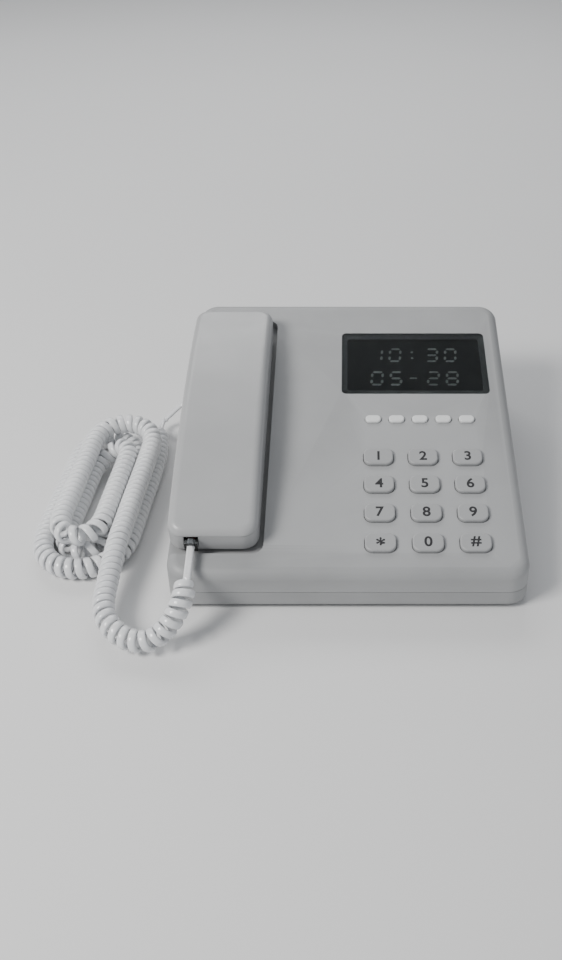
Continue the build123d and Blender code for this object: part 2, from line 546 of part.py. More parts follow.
# the coiled part is a tube of the coils' size, in runs laid end to end: a flat hank of two
# layers beside the base, then an open ring that rises to the handset
TUBE_R = 5.9
RUN_GAP = 0.05                  # each straight run stops this far short of its ends
LOW, HIGH = 6.1, 19.6           # heights of the two layers
FRONT, BACK = -60.0, 24.0       # where the strands start to bend, y
TURN = BACK - 14.0              # where the inner strands bend up to the high layer, y
RING_START = (OUTER_RIGHT, -110.0, HIGH)
CLIMB = hypot(LANE, (HIGH - LOW) / 2)
straight_runs = [
    ((OUTER_RIGHT, 49.5, LOW), (OUTER_RIGHT, FRONT, LOW)),
    ((OUTER_LEFT, FRONT, LOW), (OUTER_LEFT, BACK, LOW)),
    ((INNER_RIGHT, BACK, LOW), (INNER_RIGHT, FRONT, LOW)),
    ((INNER_LEFT, FRONT, LOW), (INNER_LEFT, TURN, LOW)),
    ((INNER_RIGHT, TURN, HIGH), (INNER_RIGHT, FRONT, HIGH)),
    ((INNER_LEFT, FRONT, HIGH), (INNER_LEFT, BACK, HIGH)),
    ((OUTER_RIGHT, BACK, HIGH), RING_START),
]
# start, middle and end of each bend
bent_runs = [
    ((OUTER_RIGHT, FRONT, LOW), (HANK_X, FRONT - 2 * LANE, LOW), (OUTER_LEFT, FRONT, LOW)),
    ((OUTER_LEFT, BACK, LOW), (HANK_X - LANE / 2, BACK + 1.5 * LANE, LOW),
     (INNER_RIGHT, BACK, LOW)),
    ((INNER_RIGHT, FRONT, LOW), (HANK_X, FRONT - LANE, LOW), (INNER_LEFT, FRONT, LOW)),
    ((INNER_LEFT, TURN, LOW), (HANK_X, TURN + CLIMB, (LOW + HIGH) / 2),
     (INNER_RIGHT, TURN, HIGH)),
    ((INNER_RIGHT, FRONT, HIGH), (HANK_X, FRONT - LANE, HIGH), (INNER_LEFT, FRONT, HIGH)),
    ((INNER_LEFT, BACK, HIGH), (HANK_X + LANE / 2, BACK + 1.5 * LANE, HIGH),
     (OUTER_RIGHT, BACK, HIGH)),
]
runs = []
for start, end in straight_runs:
    span = Vector(*end) - Vector(*start)
    heading = span.normalized()
    with BuildPart() as run:
        with BuildSketch(Plane(origin=Vector(*start) + heading * RUN_GAP, z_dir=heading)):
            Circle(TUBE_R)
        extrude(amount=span.length - 2 * RUN_GAP)
    runs.append(run.part.solid())
for start, middle, end in bent_runs:
    with BuildPart() as run:
        with BuildLine() as bend:
            ThreePointArc(start, middle, end)
        with BuildSketch(Plane(origin=bend.line @ 0, z_dir=bend.line % 0)):
            Circle(TUBE_R)
        sweep()
    runs.append(run.part.solid())
with BuildPart() as ring_run:
    with BuildLine() as ring_path:
        dip = TangentArc(RING_START, (-108.0, -136.0, 9.8), tangent=(0, -1, 0))
        TangentArc(dip @ 1, world(HS_JACK_U, HS_TAIL_V - 6.0, HS_JACK_N), tangent=dip % 1)
    with BuildSketch(Plane(origin=ring_path.line @ 0, z_dir=ring_path.line % 0)):
        Circle(TUBE_R)
    sweep()
runs.append(ring_run.part.solid())
save(Compound(runs), "coil_cord")

# ------------------------------------------------------------------ slide switches
# each knob is a plate inside the wall and a grooved grip that stands out through the slot
with BuildPart() as ringer_switch_knob:
    add(slab(SIDE_X - 6.4, SIDE_X - 2.8, RINGER_Y - 5, RINGER_Y + 5,
             RINGER_Z - 2.4, RINGER_Z + 2.4))
    add(slab(SIDE_X - 3, SIDE_X + 1.4, RINGER_Y - 2.8, RINGER_Y + 2.8,
             RINGER_Z - 1.5, RINGER_Z + 1.5))
    for y in (RINGER_Y - 1.6, RINGER_Y, RINGER_Y + 1.6):
        add(slab(SIDE_X + 0.9, SIDE_X + 2, y - 0.3, y + 0.3, RINGER_Z - 2, RINGER_Z + 2),
            mode=Mode.SUBTRACT)
save(ringer_switch_knob.part, "ringer_switch_knob")

with BuildPart() as tone_switch_knob:
    add(slab(TONE_X - 4.1, TONE_X + 4.1, BACK_Y - 6.4, BACK_Y - 2.8, TONE_Z - 2.4, TONE_Z + 2.4))
    add(slab(TONE_X - 2.3, TONE_X + 2.3, BACK_Y - 3, BACK_Y + 1.2, TONE_Z - 1.5, TONE_Z + 1.5))
    for x in (TONE_X - 1.2, TONE_X, TONE_X + 1.2):
        add(slab(x - 0.25, x + 0.25, BACK_Y + 0.8, BACK_Y + 2, TONE_Z - 2, TONE_Z + 2),
            mode=Mode.SUBTRACT)
save(tone_switch_knob.part, "tone_switch_knob")

with BuildPart() as slide_switch_bodies:
    add(slab(SIDE_X - 14, SIDE_X - 6.6, RINGER_Y - 9, RINGER_Y + 9,
             RINGER_Z - 3.4, RINGER_Z + 3.4))
    add(slab(TONE_X - 7.5, TONE_X + 7.5, BACK_Y - 14, BACK_Y - 6.6, TONE_Z - 3.2, TONE_Z + 3.2))
save(slide_switch_bodies.part, "slide_switch_bodies")

# ------------------------------------------------------------------ handset
# the handset's lengthwise plane: x is v, y is n
HS_SIDE = Plane(origin=world(CRADLE_X, 0, 0), x_dir=(0, COS_TILT, SIN_TILT), z_dir=(1, 0, 0))


def pod(v, grow):
    """The rounded pod under one end of the handset, which sits in a cup of the cradle."""
    with BuildPart() as bulge:
        add(pads(TOP, [(CRADLE_X, v)], POD_W + 2 * grow, POD_L + 2 * grow, POD_N - grow,
                 HS_LOW + 4.0, corner=7.0 + grow))
        fillet(bulge.faces().sort_by(NORMAL)[0].edges(), max(3.4 + grow, 0.6))
    return bulge.part


def handset_body(grow):
    """The handset's outline: a gently arched bar with an ear pod and a mouth pod below it."""
    v0, v1 = HS_V[0] - grow, HS_V[1] + grow
    low, end, middle = HS_LOW - grow, HS_END + grow, HS_MID + grow
    with BuildPart() as bar:
        with BuildSketch(HS_SIDE):
            with BuildLine():
                Line((v1, low), (v0, low))
                Line((v0, low), (v0, end))
                ThreePointArc((v0, end), ((v0 + v1) / 2, middle), (v1, end))
                Line((v1, end), (v1, low))
            make_face()
        extrude(amount=HS_W / 2 + grow, both=True)
        fillet(bar.edges().filter_by(NORMAL), 9.0 + grow)
        fillet(bar.faces().sort_by(NORMAL)[-1].edges(), 5.0 + grow)
        for v in (EAR_V, MOUTH_V):
            add(pod(v, grow))
    return bar.part


def handset_band(low, high):
    """A block that takes in the whole handset between two heights."""
    return block(TOP, -140, 0, -130, 130, low, high)


handset_skin = handset_body(0) - handset_body(-SKIN)

with BuildPart() as handset_outer_shell:
    add(handset_skin)
    add(handset_band(HS_SPLIT + PART_GAP, 60), mode=Mode.INTERSECT)
    # screw posts and their pilot holes
    add(discs(TOP, HS_SCREW_UV, 3.4, 4.2, 19.6))
    add(discs(TOP, HS_SCREW_UV, 1.05, 4.2, 13.2), mode=Mode.SUBTRACT)
save(handset_outer_shell.part, "handset_outer_shell")

# the tongue around the inner shell's rim: a root inside the wall, then the free lip
tongue_core = handset_body(-SKIN - 1.2)
tongue_root = ((handset_body(-SKIN + 0.4) - tongue_core)
               & handset_band(HS_SPLIT - 2.4, HS_SPLIT))
tongue_lip = ((handset_body(-SKIN - 0.12) - tongue_core)
              & handset_band(HS_SPLIT - 0.6, HS_SPLIT + 1.6))

with BuildPart() as handset_inner_shell:
    add(handset_skin)
    add(handset_band(-40, HS_SPLIT), mode=Mode.INTERSECT)
    add(tongue_root)
    add(tongue_lip)
    # earpiece and microphone openings
    with BuildSketch(TOP.offset(POD_N - 1)):
        with Locations(EAR_UV):
            Circle(1.1)
            with PolarLocations(5.0, 6):
                Circle(1.0)
            with PolarLocations(9.5, 12):
                Circle(1.0)
        with Locations(*[(CRADLE_X + shift, MIC_UV[1]) for shift in (-4.0, 0, 4.0)]):
            SlotOverall(7.0, 1.8, rotation=90)
    extrude(amount=4, mode=Mode.SUBTRACT)
    # screw posts, counterbored from below
    add(discs(TOP, HS_SCREW_UV, 4.2, HS_LOW + 1.0, HS_LOW + 5.0))
    add(discs(TOP, HS_SCREW_UV, 2.8, HS_LOW - 1, HS_LOW + 2.4), mode=Mode.SUBTRACT)
    add(discs(TOP, HS_SCREW_UV, 1.4, HS_LOW - 1, HS_LOW + 7), mode=Mode.SUBTRACT)
    # cord jack opening in the front end, and room for the jack behind it
    add(block(HS_PORT, -JACK_HALF_W, JACK_HALF_W, -14.0, -6.7, JACK_LOW, 12.0),
        mode=Mode.SUBTRACT)
    add(block(HS_PORT, -5.7, 5.7, -6.9, 7.0, -4.3, 12.0), mode=Mode.SUBTRACT)
save(handset_inner_shell.part, "handset_inner_shell")

with BuildPart() as handset_screws:
    add(discs(TOP, HS_SCREW_UV, 2.5, HS_LOW + 0.4, HS_LOW + 2.4))
    add(discs(TOP, HS_SCREW_UV, 1.0, HS_LOW + 2.3, HS_LOW + 11.3))
save(handset_screws.part, "handset_screws")

RECEIVER_R = 15.4
save(ring(TOP, EAR_UV, RECEIVER_R, 11.6, POD_FLOOR + 0.05, POD_FLOOR + 0.95),
     "receiver_gasket")

with BuildPart() as receiver_capsule:
    add(discs(TOP, [EAR_UV], RECEIVER_R, POD_FLOOR + 1.0, POD_FLOOR + 4.4))
    add(discs(TOP, [EAR_UV], 9.0, POD_FLOOR + 4.4, POD_FLOOR + 7.6))
save(receiver_capsule.part, "receiver_capsule")

MIC_R = 4.85
save(ring(TOP, MIC_UV, 6.6, MIC_R + 0.1, POD_FLOOR + 0.05, POD_FLOOR + 6.55), "microphone_boot")
save(discs(TOP, [MIC_UV], MIC_R, POD_FLOOR + 0.6, POD_FLOOR + 6.8), "microphone")

WEIGHT_LOW = HS_LOW + SKIN + 0.1
save(pads(TOP, [(CRADLE_X, -3.0)], 30, 64, WEIGHT_LOW, WEIGHT_LOW + 5.0, corner=3),
     "handset_weight")
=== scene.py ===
"""A corded desk telephone: a base with a sloping key panel, a handset and a coiled cord.

The front faces -Y and Z is up. The base is centred on x = 0, with the cord's hank on the table to
its left (-X). Lengths are in mm until a mesh is made; materials, lights and camera use metres.
Panel coordinates: u runs right, v runs up the slope to the rear, n stands off the panel.
"""
from math import atan2, cos, dist, hypot, pi, radians, sin, tan

import bmesh
import bpy
import numpy as np
from mathutils import Matrix, Vector


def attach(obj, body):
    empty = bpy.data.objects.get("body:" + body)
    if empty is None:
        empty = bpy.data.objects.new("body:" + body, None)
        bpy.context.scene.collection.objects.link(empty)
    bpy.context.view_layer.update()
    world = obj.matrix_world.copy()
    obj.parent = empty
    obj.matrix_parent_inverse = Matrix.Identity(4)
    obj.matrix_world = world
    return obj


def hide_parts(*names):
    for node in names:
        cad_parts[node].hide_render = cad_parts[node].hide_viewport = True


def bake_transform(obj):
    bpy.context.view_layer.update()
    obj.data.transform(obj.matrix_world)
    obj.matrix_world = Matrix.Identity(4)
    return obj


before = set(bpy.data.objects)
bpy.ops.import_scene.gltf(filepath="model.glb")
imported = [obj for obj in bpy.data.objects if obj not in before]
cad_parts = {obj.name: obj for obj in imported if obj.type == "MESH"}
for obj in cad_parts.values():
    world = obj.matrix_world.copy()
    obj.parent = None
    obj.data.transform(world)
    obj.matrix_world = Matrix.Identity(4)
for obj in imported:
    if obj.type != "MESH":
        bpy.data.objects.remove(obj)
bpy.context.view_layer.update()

# ---------------------------------------------------------------- the sloping panel
BASE_DEPTH, TILT, FRONT_HEIGHT = 220.0, radians(12.0), 26.0
COS_TILT, SIN_TILT = cos(TILT), sin(TILT)
PANEL_Z = FRONT_HEIGHT + BASE_DEPTH / 2 * tan(TILT)   # height of the panel's centre
ALONG_SLOPE = np.array((0.0, COS_TILT, SIN_TILT))
PANEL_NORMAL = np.array((0.0, -SIN_TILT, COS_TILT))


def panel_point(u, v, n):
    return (u, v * COS_TILT - n * SIN_TILT, PANEL_Z + v * SIN_TILT + n * COS_TILT)


def panel_matrix(u, v, n):
    """Placement, in metres, of something drawn flat on the panel at (u, v, n)."""
    x, y, z = panel_point(u, v, n)
    return Matrix(((1, 0, 0, x / 1000),
                   (0, COS_TILT, -SIN_TILT, y / 1000),
                   (0, SIN_TILT, COS_TILT, z / 1000),
                   (0, 0, 0, 1)))


# ---------------------------------------------------------------- centre line of the coiled cord
COIL_R = 6.2                    # outer radius of the coil
REST_Z = COIL_R + 0.1           # centre line of a strand lying on the table
PATH_STEP = 2.0                 # spacing of the points along the path
LANE = 12.7                     # spacing of neighbouring strands, sideways and upwards
HANK_X, HANK_FRONT, HANK_REAR = -152.0, -60.0, 24.0
CORD_START_Y = 50.0
INNER_SETBACK = 14.0            # the inner rear bend lies this far in front of the outer one
RING_X, RING_Y, RING_R = -108.0, -121.0, 22.0
RING_Z = (13.0, 6.6, 27.5)      # the ring's heights: at the hank, at its dip, at the handset
HANDSET_FRONT_V, TAIL_REACH = -95.0, 23.5
HANDSET_JACK_U, HANDSET_JACK_N = -86.0, 5.45


def eased(start, end, t):
    return start + (end - start) * (t * t * (3 - 2 * t))


def straight(start, end):
    """Points from start up to, but without, end; the height changes gently."""
    (x0, y0, z0), (x1, y1, z1) = start, end
    count = max(2, int(hypot(x1 - x0, y1 - y0) / PATH_STEP))
    steps = [i / count for i in range(count)]
    return [(x0 + (x1 - x0) * t, y0 + (y1 - y0) * t, eased(z0, z1, t)) for t in steps]


def bend(x, y, radius, angles, heights):
    """Points on an arc about (x, y), without its last; angles in degrees."""
    first, last = angles
    count = max(4, int(abs(radians(last - first)) * radius / PATH_STEP))
    points = []
    for i in range(count):
        t = i / count
        angle = radians(first + (last - first) * t)
        points.append((x + radius * cos(angle), y + radius * sin(angle), eased(*heights, t)))
    return points


def cord_route():
    """Three turns of a two-layer hank beside the base, then a half ring to the handset."""
    outer, inner = 2 * LANE, LANE
    cross_r, cross_shift = (outer + inner) / 2, outer / 4    # bends between inner and outer lane
    front, rear, inner_rear = HANK_FRONT, HANK_REAR, HANK_REAR - INNER_SETBACK
    low, high = REST_Z, REST_Z + LANE
    front_half, rear_half = (0, -180), (180, 0)

    def strand(offset, y0, y1, z):
        return straight((HANK_X + offset, y0, z), (HANK_X + offset, y1, z))

    def turn(shift, y, radius, half, z0, z1):
        return bend(HANK_X + shift, y, radius, half, (z0, z1))

    route = strand(outer, CORD_START_Y, front, low)
    route += turn(0, front, outer, front_half, low, low)
    route += strand(-outer, front, rear, low)
    route += turn(-cross_shift, rear, cross_r, rear_half, low, low)
    route += strand(inner, rear, front, low)
    route += turn(0, front, inner, front_half, low, low)
    route += strand(-inner, front, inner_rear, low)
    route += turn(0, inner_rear, inner, rear_half, low, high)
    route += strand(inner, inner_rear, front, high)
    route += turn(0, front, inner, front_half, high, high)
    route += strand(-inner, front, rear, high)
    route += turn(cross_shift, rear, cross_r, rear_half, high, high)
    route += strand(outer, rear, front, high)

    # leave the hank, dip to the table in a ring, and rise to the handset's tail
    hank_z, dip_z, handset_z = RING_Z
    route += straight((HANK_X + outer, front, high), (RING_X - RING_R, RING_Y, hank_z))
    route += bend(RING_X, RING_Y, RING_R, (180, 270), (hank_z, dip_z))
    route += bend(RING_X, RING_Y, RING_R, (270, 360), (dip_z, handset_z))
    tail = panel_point(HANDSET_JACK_U, HANDSET_FRONT_V - TAIL_REACH, HANDSET_JACK_N)
    route.append((tail[0], tail[1] - 2.0, tail[2] - 0.6))
    route.append(tail)
    return route


def evenly_spaced(points):
    """The path sampled again every PATH_STEP, with both ends held."""
    spaced, carry = [points[0]], 0.0
    for a, b in zip(points, points[1:]):
        left = dist(a, b)
        while carry + left >= PATH_STEP:
            t = (PATH_STEP - carry) / left
            a = tuple(a[k] + (b[k] - a[k]) * t for k in range(3))
            spaced.append(a)
            left = dist(a, b)
            carry = 0.0
        carry += left
    if dist(spaced[-1], points[-1]) > PATH_STEP / 2:
        spaced.append(points[-1])
    else:
        spaced[-1] = points[-1]
    return spaced


def smoothed(points, centre_weight):
    """One pass of averaging with both neighbours; the ends hold."""
    total = centre_weight + 2
    return ([points[0]]
            + [[(a[k] + centre_weight * b[k] + c[k]) / total for k in range(3)]
               for a, b, c in zip(points, points[1:], points[2:])]
            + [points[-1]])


def clamp01(value):
    return min(1.0, max(0.0, value))


def leaned(points):
    """A slight sideways lean of the whole hank, which a hand-laid cord has."""
    bent = []
    for x, y, z in points:
        in_hank = clamp01((-112.0 - x) / 14.0)
        sway = 3.0 * sin((y + 20.0) / 42.0) * clamp01((52.0 - y) / 30.0)
        upper_shift = 1.6 * clamp01((z - 8.0) / 9.0)
        bent.append((x + in_hank * (sway - upper_shift), y, z))
    return bent


def settled(points):
    """Push strands apart until they lie side by side without sinking into each other."""
    gap = 2 * COIL_R + 0.15
    reach = 12                        # points nearer than this along the path are one strand
    held_start, held_end = 8, 12      # points that stay at either end
    push = 0.12                       # share of an overlap each point gives way per pass
    points = [list(p) for p in points]
    count = len(points)
    for _ in range(24):
        moves = [[0.0, 0.0, 0.0] for _ in points]
        for i in range(count):
            x, y, z = points[i]
            for j in range(i + reach, count):
                dx, dy, dz = points[j][0] - x, points[j][1] - y, points[j][2] - z
                if abs(dx) < gap and abs(dy) < gap and abs(dz) < gap:
                    apart = hypot(dx, dy, dz)
                    if apart < gap:
                        share = (gap - apart) / apart * push
                        for k, delta in enumerate((dx, dy, dz)):
                            moves[i][k] -= share * delta
                            moves[j][k] += share * delta
        for i in range(held_start, count - held_end):
            for k in range(3):
                points[i][k] += moves[i][k]
            points[i][2] = max(points[i][2], REST_Z)
        points = smoothed(points, centre_weight=6)
    return points


def cord_path():
    """Centre line of the coiled part of the cord, from the base end to the handset end."""
    points = evenly_spaced(cord_route())
    for _ in range(14):
        points = smoothed(points, centre_weight=2)
    return evenly_spaced(settled(evenly_spaced(leaned(points))))


# ---------------------------------------------------------------- material building blocks
MIX_A, MIX_B, MIX_RESULT = 6, 7, 2    # the colour sockets of a Mix node


def toned(colour, gain, lift=0.0):
    return tuple(min(1, c * gain + lift) for c in colour)


class Shader:
    """A material with one Principled BSDF, textured in object coordinates (metres)."""

    def __init__(self, name):
        self.material = bpy.data.materials.new(name)
        self.material.use_nodes = True
        self.tree = self.material.node_tree
        for node in list(self.tree.nodes):
            if node.type != "OUTPUT_MATERIAL":
                self.tree.nodes.remove(node)
        output = next(n for n in self.tree.nodes if n.type == "OUTPUT_MATERIAL")
        self.surface = self.add("ShaderNodeBsdfPrincipled")
        self.feed(output, {"Surface": self.surface.outputs["BSDF"]})
        self.coords = self.add("ShaderNodeTexCoord").outputs["Object"]
        self.normal = None

    def feed(self, node, inputs):
        """Set each input to a value, or link it to a socket."""
        for key, value in inputs.items():
            if isinstance(value, bpy.types.NodeSocket):
                self.tree.links.new(value, node.inputs[key])
            else:
                node.inputs[key].default_value = value

    def add(self, kind, inputs=None, **settings):
        node = self.tree.nodes.new(kind)
        for key, value in settings.items():
            setattr(node, key, value)
        self.feed(node, inputs or {})
        return node

    def set(self, inputs):
        self.feed(self.surface, inputs)

    def noise(self, scale, detail=3.0, rough=0.55, distortion=0.0, coords=None):
        return self.add("ShaderNodeTexNoise", {
            "Scale": scale, "Detail": detail, "Roughness": rough, "Distortion": distortion,
            "Vector": coords or self.coords}).outputs["Fac"]

    def stretched(self, scale, rotation=(0.0, 0.0, 0.0)):
        """Object coordinates scaled along each axis, which draws noise out into lines."""
        return self.add("ShaderNodeMapping", {
            "Scale": scale, "Rotation": rotation, "Vector": self.coords}).outputs["Vector"]

    def remap(self, value, across=(0.3, 0.7), to=(0.0, 1.0)):
        return self.add("ShaderNodeMapRange", {
            "From Min": across[0], "From Max": across[1],
            "To Min": to[0], "To Max": to[1], "Value": value}).outputs["Result"]

    def math(self, operation, a, b):
        return self.add("ShaderNodeMath", {0: a, 1: b}, operation=operation).outputs[0]

    def mix(self, factor, a, b):
        a, b = ((*c, 1.0) if isinstance(c, tuple) else c for c in (a, b))
        return self.add("ShaderNodeMix", {"Factor": factor, MIX_A: a, MIX_B: b},
                        data_type="RGBA").outputs[MIX_RESULT]

    def occlusion(self, distance):
        return self.add("ShaderNodeAmbientOcclusion", {"Distance": distance},
                        samples=4).outputs["AO"]

    def set_normal(self, socket):
        self.normal = socket
        self.set({"Normal": socket})

    def bevel(self, radius):
        """Rounded edges in the shading only."""
        node = self.add("ShaderNodeBevel", {"Radius": radius}, samples=4)
        self.set_normal(node.outputs["Normal"])

    def bump(self, height, distance, strength):
        """A bump layer over whatever relief is there already."""
        inputs = {"Strength": strength, "Distance": distance, "Height": height}
        if self.normal is not None:
            inputs["Normal"] = self.normal
        self.set_normal(self.add("ShaderNodeBump", inputs).outputs["Normal"])


# ---------------------------------------------------------------- materials
def plastic(name, colour, rough=0.42, grain=1500.0, depth=0.00006, strength=0.5, spread=0.05,
            bevel=0.0003, wear=0.0, corner_shade=0.10, coat=0.0, sss=0.0, alt=None):
    """Moulded plastic: fine grain, slow colour drift, handling marks, painted shade darkening the
    corners.
    """
    s = Shader(name)
    slow = s.noise(scale=14.0, detail=4.0)
    fine = s.noise(scale=grain, detail=2.0, rough=0.6)
    smudge = s.noise(scale=45.0, detail=5.0, rough=0.65, distortion=0.6)
    streaks = s.stretched(scale=(1.0, 0.06, 0.06), rotation=(0.0, 0.0, 0.6))
    scratch = s.noise(scale=1400.0, detail=2.0, rough=0.5, coords=streaks)
    base = s.mix(s.remap(slow, across=(0.35, 0.65)),
                 toned(colour, gain=1 - spread * 1.6), toned(colour, gain=1 + spread))
    if alt is not None:
        base = s.mix(s.remap(fine, across=(0.62, 0.72), to=(0.0, 0.6)), base, alt)
    # painted shade: ambient occlusion darkens the colour in corners and recesses, mottled by the
    # smudge noise
    if corner_shade:
        corners = s.remap(s.occlusion(distance=0.004), across=(0.15, 0.75), to=(corner_shade * 2.2, 0.0))
        painted_shade = s.math("MULTIPLY", corners, s.remap(smudge, to=(0.4, 1.0)))
        base = s.mix(painted_shade, base, toned(colour, gain=0.35))
    if wear:
        pointiness = s.add("ShaderNodeNewGeometry").outputs["Pointiness"]
        edge = s.remap(pointiness, across=(0.53, 0.62), to=(0.0, wear))
        base = s.mix(edge, base, toned(colour, gain=1.25, lift=0.03))
    roughness = s.math("ADD", s.remap(smudge, to=(rough - 0.06, rough + 0.07)),
                       s.remap(scratch, across=(0.66, 0.74), to=(0.0, 0.07)))
    s.set({"Base Color": base, "Roughness": roughness, "IOR": 1.5})
    if coat:
        s.set({"Coat Weight": coat, "Coat Roughness": 0.12})
    if sss:
        s.set({"Subsurface Weight": sss, "Subsurface Radius": (1.0, 0.95, 0.9),
               "Subsurface Scale": 0.0012})
    if bevel:
        s.bevel(bevel)
    s.bump(fine, distance=depth, strength=strength)
    s.bump(slow, distance=0.0004, strength=0.15)
    return s.material


def metal(name, colour, rough=0.3, brushed=(1, 0.05, 1)):
    """Brushed metal with faint blotches; brushed scales the noise along each axis."""
    s = Shader(name)
    lines = s.noise(scale=2600.0, coords=s.stretched(scale=brushed))
    blotch = s.noise(scale=160.0, detail=5.0, rough=0.6)
    s.set({"Base Color": s.mix(s.remap(blotch), toned(colour, gain=0.82), colour),
           "Metallic": 1.0,
           "Roughness": s.remap(lines, to=(rough - 0.08, rough + 0.12))})
    s.bevel(0.0002)
    s.bump(lines, distance=0.00002, strength=0.4)
    return s.material


def clear_plastic(name, tint, rough, ior):
    s = Shader(name)
    haze = s.noise(scale=300.0, detail=4.0)
    s.set({"Base Color": s.mix(s.remap(haze, across=(0.35, 0.65)), toned(tint, gain=0.96), tint),
           "Roughness": s.remap(haze, to=(rough, rough + 0.06)),
           "IOR": ior, "Transmission Weight": 1.0})
    s.bevel(0.00015)
    s.bump(haze, distance=0.00003, strength=0.25)
    return s.material


def smoked_window():
    """A dark tint that still lets the display through, with a dust film and a soft sheen."""
    s = Shader("smoked_window")
    film = s.noise(scale=90.0, detail=5.0, rough=0.6, distortion=0.8)
    dust = s.noise(scale=2600.0, detail=2.0)
    s.set({"Base Color": s.mix(s.remap(film), (0.30, 0.32, 0.32), (0.38, 0.40, 0.40)),
           "Roughness": s.remap(film, across=(0.35, 0.7), to=(0.05, 0.16)),
           "Transmission Weight": 1.0, "IOR": 1.12,
           "Coat Weight": 0.5, "Coat Roughness": 0.08})
    s.bevel(0.0002)
    s.bump(dust, distance=0.00001, strength=0.25)
    return s.material


def lcd_glass():
    """Dark grey liquid-crystal glass with a faint pixel mesh."""
    s = Shader("lcd_glass")
    slow = s.noise(scale=22.0)
    mesh_lines = s.add("ShaderNodeTexWave", {"Scale": 420.0, "Vector": s.coords},
                       bands_direction="X").outputs["Fac"]
    s.set({"Base Color": s.mix(s.remap(slow), (0.030, 0.034, 0.034), (0.050, 0.055, 0.054)),
           "Roughness": s.remap(slow, to=(0.14, 0.22))})
    s.bump(mesh_lines, distance=0.00001, strength=0.2)
    return s.material


def pvc_jacket():
    """Glossy off-white PVC: slight translucency, fine specks, soft painted shade between the
    turns.
    """
    s = Shader("pvc_jacket")
    slow = s.noise(scale=30.0, detail=4.0)
    fine = s.noise(scale=900.0)
    base = s.mix(s.remap(slow), (0.72, 0.73, 0.75), (0.80, 0.81, 0.82))
    specks = s.remap(fine, across=(0.66, 0.78), to=(0.0, 0.35))
    base = s.mix(specks, base, (0.58, 0.58, 0.58))
    # painted shade: ambient occlusion darkens the jacket where the turns shade each other
    painted_shade = s.remap(s.occlusion(distance=0.0016), across=(0.1, 0.6), to=(0.65, 0.0))
    base = s.mix(painted_shade, base, (0.16, 0.16, 0.17))
    s.set({"Base Color": base, "Roughness": s.remap(slow, to=(0.20, 0.30)),
           "Subsurface Weight": 0.12, "Subsurface Radius": (1.0, 0.97, 0.92),
           "Subsurface Scale": 0.0010, "Coat Weight": 0.35, "Coat Roughness": 0.10})
    s.bump(slow, distance=0.0006, strength=0.12)
    s.bump(fine, distance=0.00003, strength=0.35)
    return s.material


MATERIALS = {
    "housing": plastic("housing_grain", (0.33, 0.335, 0.34), rough=0.46, grain=1300.0,
                       depth=0.00009, strength=0.55, bevel=0.0005, wear=0.5, corner_shade=0.20),
    "handset": plastic("handset_skin", (0.40, 0.405, 0.41), rough=0.34, grain=1900.0,
                       depth=0.00005, strength=0.35, spread=0.03, bevel=0.0005, wear=0.25,
                       corner_shade=0.12, coat=0.12),
    "key": plastic("key_caps", (0.36, 0.365, 0.37), rough=0.38, grain=2200.0, depth=0.00004,
                   strength=0.4, spread=0.03, bevel=0.0004, wear=0.4, corner_shade=0.22),
    "func": plastic("function_caps", (0.78, 0.79, 0.79), rough=0.34, grain=2200.0,
                    depth=0.00004, strength=0.4, spread=0.03, wear=0.2, corner_shade=0.2),
    "black": plastic("black_moulding", (0.022, 0.022, 0.024), grain=1800.0, spread=0.2,
                     wear=0.3, corner_shade=0.0),
    "knob": plastic("switch_knobs", (0.030, 0.031, 0.034), rough=0.5, depth=0.00008,
                    spread=0.2, wear=0.4, corner_shade=0.0),
    "silicone": plastic("silicone_mat", (0.42, 0.43, 0.43), rough=0.6, grain=900.0, sss=0.3),
    "rubber": plastic("foot_rubber", (0.018, 0.018, 0.018), rough=0.82, grain=700.0,
                      depth=0.00015, strength=0.8, spread=0.3, corner_shade=0.0),
    "board": plastic("solder_mask", (0.02, 0.11, 0.045), rough=0.3, grain=420.0,
                     depth=0.00004, spread=0.2, alt=(0.05, 0.19, 0.08)),
    "print": plastic("printed_ink", (0.014, 0.014, 0.016), rough=0.55, grain=2600.0,
                     depth=0.00002, spread=0.3, bevel=0.0, corner_shade=0.0),
    "wires": plastic("wire_insulation", (0.35, 0.05, 0.03), rough=0.35, spread=0.25,
                     alt=(0.30, 0.22, 0.02), corner_shade=0.0),
    "zinc": metal("zinc_plate", (0.62, 0.61, 0.57), rough=0.34, brushed=(1, 1, 0.08)),
    "spring": metal("spring_wire", (0.66, 0.66, 0.68), rough=0.24),
    "gold": metal("gold_plate", (0.86, 0.60, 0.20), rough=0.20),
    "alu": metal("microphone_can", (0.76, 0.76, 0.77), rough=0.30),
    "can": plastic("speaker_can", (0.035, 0.035, 0.035), rough=0.5, grain=600.0, depth=0.0001,
                   spread=0.3, corner_shade=0.0),
    "clear": clear_plastic("clear_polycarbonate", (0.93, 0.95, 0.96), rough=0.05, ior=1.55),
    "lens": smoked_window(),
    "lcd": lcd_glass(),
    "segment": plastic("lcd_segments", (0.60, 0.64, 0.62), rough=0.4, grain=3000.0,
                       spread=0.06, bevel=0.0, corner_shade=0.0),
    "cord": pvc_jacket(),
}

